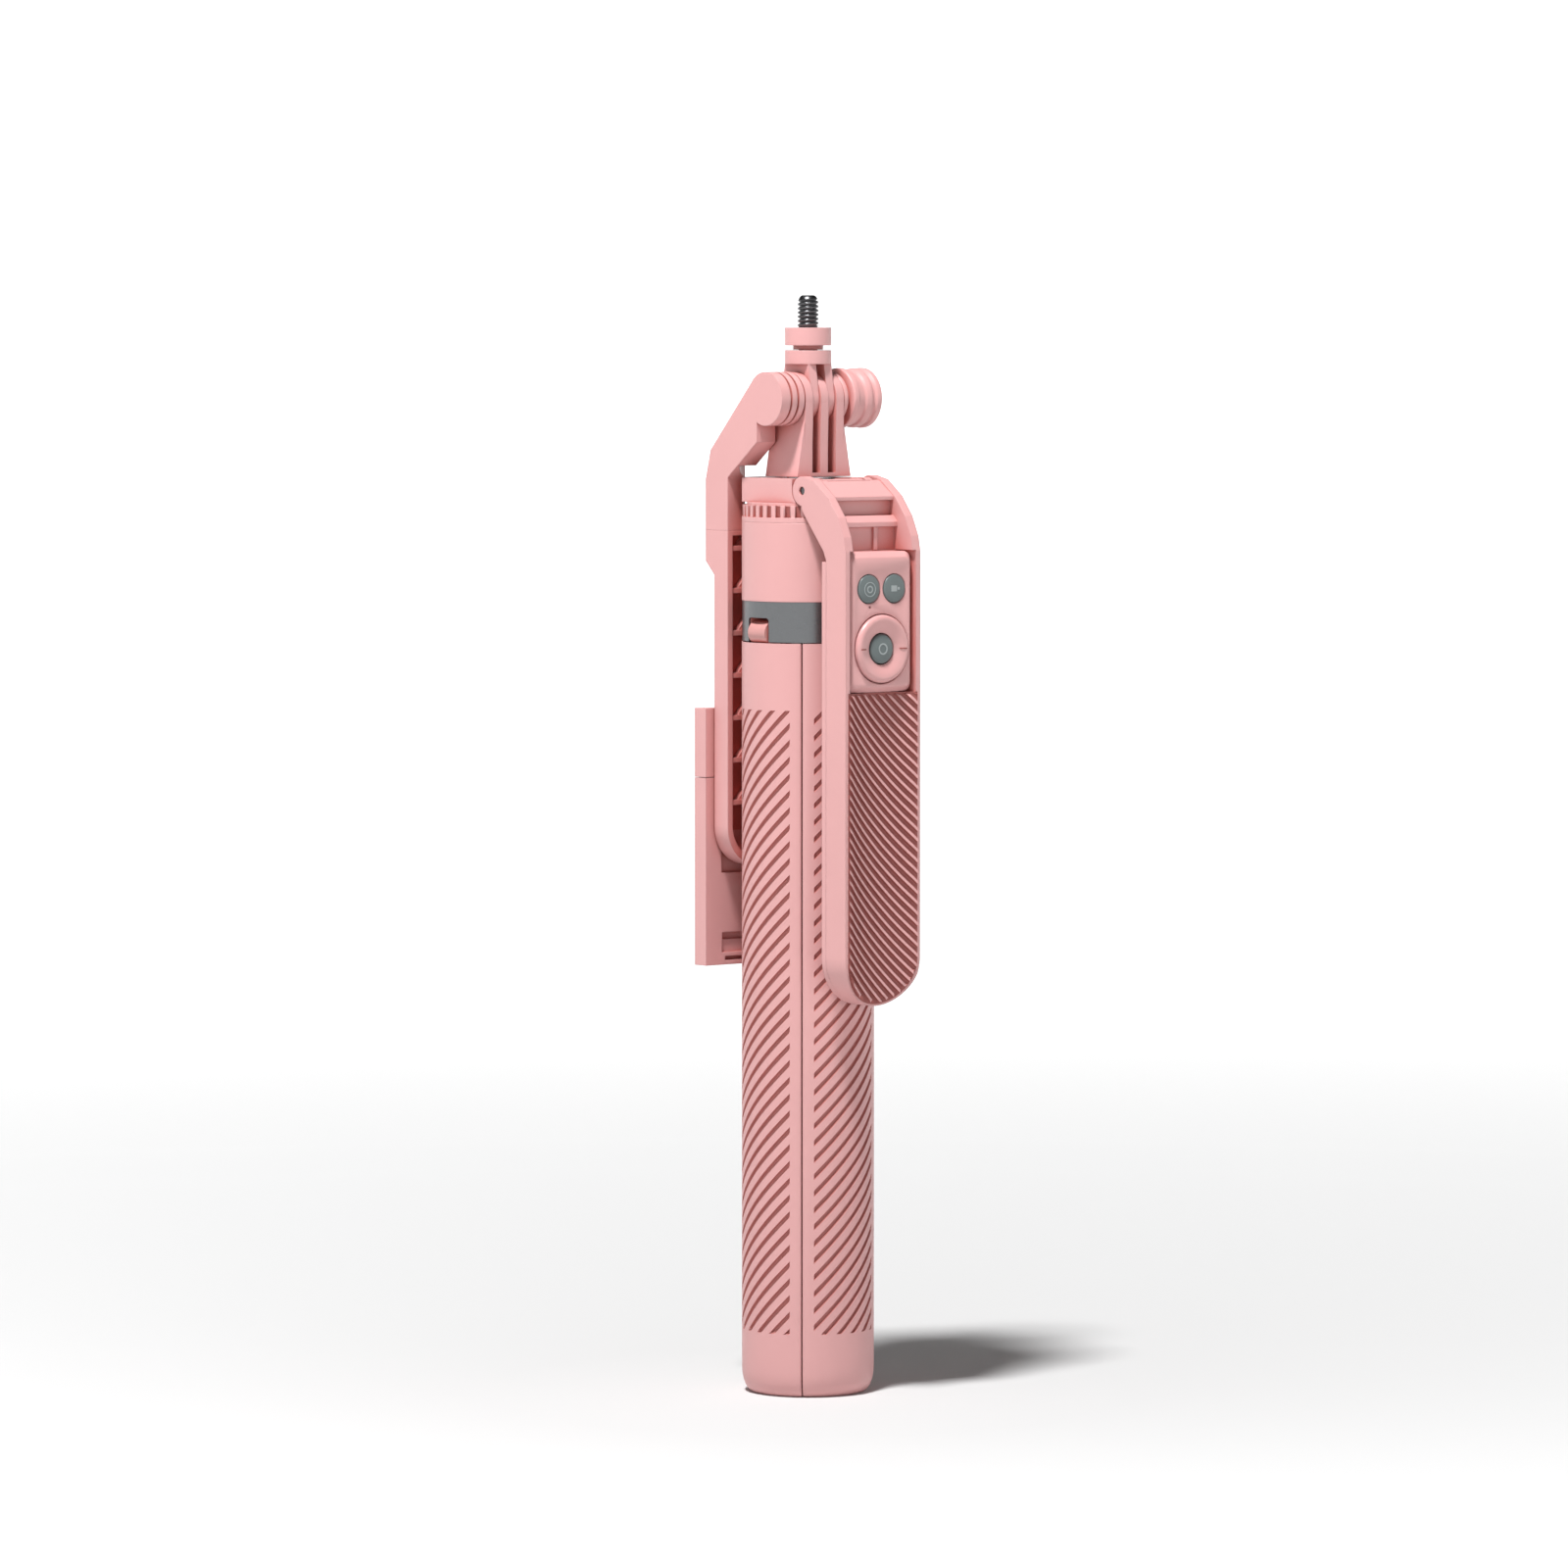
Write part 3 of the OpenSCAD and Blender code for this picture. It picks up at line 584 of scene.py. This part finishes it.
dome = rounded([(32.5, 4.8, 0), (33.2, 4.8, 0), (33.2, 4.3, 0), (35.05, 4.3, 0.55), (35.35, 2.6, 0.4),
                (35.42, 0.01, 0)], 0.2)
for key, x in (("photo_button", -KEY_X), ("video_button", KEY_X)):
    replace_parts(turned(key + "_cap", dome, at(x, KEY_Z), key, "grey_button"), key)
dome = rounded([(32.5, 4.5, 0), (35.15, 4.5, 0.7), (35.5, 2.6, 0.4), (35.6, 0.01, 0)], 0.2)
cap = turned("shutter_button_cap", dome, at(0, RING_Z), "shutter_button", "grey_button")
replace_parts(cap, "shutter_button")


def flat_ring(verts, faces, cx, cz, r_in, r_out, y0, y1, n=28):
    """Adds a closed flat ring facing -Y to a mesh."""
    start = len(verts)
    for y, r in ((y0, r_in), (y0, r_out), (y1, r_out), (y1, r_in)):
        verts += [(cx + a, y, cz + b) for a, b in circle(r, n)]
    for k in range(4):
        for i in range(n):
            j, m = (i + 1) % n, (k + 1) % 4
            faces.append([start + k * n + i, start + k * n + j, start + m * n + j, start + m * n + i])


def key_marks():
    """Generic marks: rings on the photo key, blocks on the video key and a ring on the shutter button."""
    verts, faces = [], []
    flat_ring(verts, faces, -KEY_X, KEY_Z - 0.1, 0.75, 1.15, -35.46, -35.38)
    flat_ring(verts, faces, -KEY_X, KEY_Z - 0.1, 2.0, 2.25, -35.46, -35.36, 36)
    make("photo_mark", verts, faces, ["mark"], "photo_button")
    verts, faces = [], []
    slab(verts, faces, (3.4, -35.46, 246.5), (5.6, -35.36, 248.3))
    slab(verts, faces, (5.9, -35.46, 247.0), (6.7, -35.36, 247.8))
    make("video_mark", verts, faces, ["mark"], "video_button")
    verts, faces = [], []
    flat_ring(verts, faces, 0, RING_Z, 1.3, 1.75, -35.66, -35.56)
    make("shutter_mark", verts, faces, ["mark"], "shutter_button")


key_marks()

bowl = [(32.5, 4.85), (32.5, 11.0), (33.1, 11.0), (33.15, 10.35), (34.9, 10.3)]
bowl += [(35.0 + 1.15 * math.sin(math.radians(t)), 8.9 + 1.4 * math.cos(math.radians(t)))
         for t in (0, 20, 40, 60, 80, 100)]
bowl += [(35.7, 7.2), (35.15, 6.0), (34.9, 5.2), (34.7, 4.85), (32.5, 4.85)]
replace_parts(turned("zoom_ring_bowl", bowl, at(0, RING_Z), "zoom_ring", "pink_ring", n=96), "zoom_ring")


def zoom_marks():
    """A dark line across the ring's crest on each side, in four short bars that follow its rise."""
    low, high = RING_Z - 0.2, RING_Z + 0.2
    bar = 0.62
    verts, faces = [], []
    for side in (-1, 1):
        for k in range(4):
            n = len(verts)
            for x in (side * (6.6 + k * bar), side * (6.6 + (k + 1) * bar)):
                y = -(35.4 + 0.74 * math.sin(max(0.0, (abs(x) - 6.4)) * 0.72))
                verts += [(x, y - 0.1, low), (x, y - 0.1, high), (x, y + 0.35, high), (x, y + 0.35, low)]
            faces += [[n + a, n + (a + 1) % 4, n + 4 + (a + 1) % 4, n + 4 + a] for a in range(4)]
            faces += [[n, n + 3, n + 2, n + 1], [n + 4, n + 5, n + 6, n + 7]]
    make("zoom_marks", verts, faces, ["pink_shade_and_mark"], "zoom_ring")


zoom_marks()


def up_pole(z, a, b):
    return (a, b, z)


# painted shade: the floors of the knurled ring's slots, in the deep red of an unlit recess
slot_shade_profile = [(268.7, 18.6), (268.7, 18.95), (272.0, 18.95), (272.0, 18.6), (268.7, 18.6)]
turned("knurl_slot_shade", slot_shade_profile, up_pole, "housing", "pink_shell", ["pink_shade_and_mark"], n=96)

# ---------------------------------------------------------------- stage, light and camera


def stage_mesh(name, verts, faces, mat):
    mesh = bpy.data.meshes.new(name)
    mesh.from_pydata(verts, [], faces)
    mesh.materials.append(mat)
    mesh.polygons.foreach_set("use_smooth", [True] * len(mesh.polygons))
    obj = bpy.data.objects.new(name, mesh)
    bpy.context.scene.collection.objects.link(obj)
    return obj


def backdrop():
    """A round pale floor inside a low round wall. Both glow more the further out they are, to stay white."""
    mat, tree, shader = new_material("studio_white")
    shader.inputs["Base Color"].default_value = (0.63, 0.63, 0.63, 1)
    shader.inputs["Roughness"].default_value = 0.9
    shader.inputs["Specular IOR Level"].default_value = 0.1
    coord = tree.nodes.new("ShaderNodeTexCoord")
    size = tree.nodes.new("ShaderNodeVectorMath")
    size.operation = "LENGTH"
    tree.links.new(coord.outputs["Object"], size.inputs[0])
    glow = tree.nodes.new("ShaderNodeMapRange")
    glow.inputs["From Min"].default_value = 0.1
    glow.inputs["From Max"].default_value = 1.8
    glow.inputs["To Min"].default_value = 0.0
    glow.inputs["To Max"].default_value = 0.95
    tree.links.new(size.outputs["Value"], glow.inputs["Value"])
    shader.inputs["Emission Color"].default_value = (1, 1, 1, 1)
    tree.links.new(glow.outputs["Result"], shader.inputs["Emission Strength"])
    n = 64
    ring = [(math.cos(2 * math.pi * i / n), math.sin(2 * math.pi * i / n)) for i in range(n)]
    rows = [(r, 0) for r in (0.3, 1.0, 2.0, 3.0)]
    rows += [(3.0 + math.sin(math.radians(t)), 1 - math.cos(math.radians(t))) for t in range(10, 91, 10)]
    rows.append((4.0, 1.3))
    verts = [(0, 0, 0)] + [(r * c, r * k, z) for r, z in rows for c, k in ring]
    faces = [[0, 1 + i, 1 + (i + 1) % n] for i in range(n)]
    faces += grid_faces(len(rows), n, 1, True, True)
    stage_mesh("studio_floor", verts, faces, mat)


AZ, EL, FAR = math.radians(-39.5), math.radians(3.5), 2.5
backdrop()

world = bpy.data.worlds.new("studio")
bpy.context.scene.world = world
world.use_nodes = True
world.node_tree.nodes["Background"].inputs["Color"].default_value = (1, 1, 1, 1)
world.node_tree.nodes["Background"].inputs["Strength"].default_value = 0.06


def area_light(name, place, target, size, power):
    lamp = bpy.data.lights.new(name, "AREA")
    lamp.shape = "DISK"
    lamp.size = size
    lamp.energy = power
    obj = bpy.data.objects.new(name, lamp)
    bpy.context.scene.collection.objects.link(obj)
    obj.location = place
    obj.rotation_euler = (Vector(target) - Vector(place)).to_track_quat("-Z", "Y").to_euler()
    return obj


aim = Vector((-0.00567, 0.00467, 0.1866))
to_camera = Vector((math.sin(AZ) * math.cos(EL), -math.cos(AZ) * math.cos(EL), math.sin(EL)))
right = Vector((math.cos(AZ), math.sin(AZ), 0))
up = Vector((0, 0, 1))


def around(side, front, height):
    """A place given by how far it is to the camera's right, towards the camera, and up."""
    return aim + right * side + Vector((to_camera.x, to_camera.y, 0)).normalized() * front + up * height


area_light("key", around(-0.244, 0.547, 1.48), aim, 0.22, 42)

cam = bpy.data.cameras.new("camera")
cam.sensor_width = 36
cam.lens = 187.5
cam.clip_start = 0.05
cam.clip_end = 60
camera = bpy.data.objects.new("camera", cam)
bpy.context.scene.collection.objects.link(camera)
camera.location = aim + to_camera * FAR
camera.rotation_euler = (-to_camera).to_track_quat("-Z", "Y").to_euler()
bpy.context.scene.camera = camera
bpy.context.scene.view_settings.view_transform = "Standard"
bpy.context.scene.view_settings.look = "None"
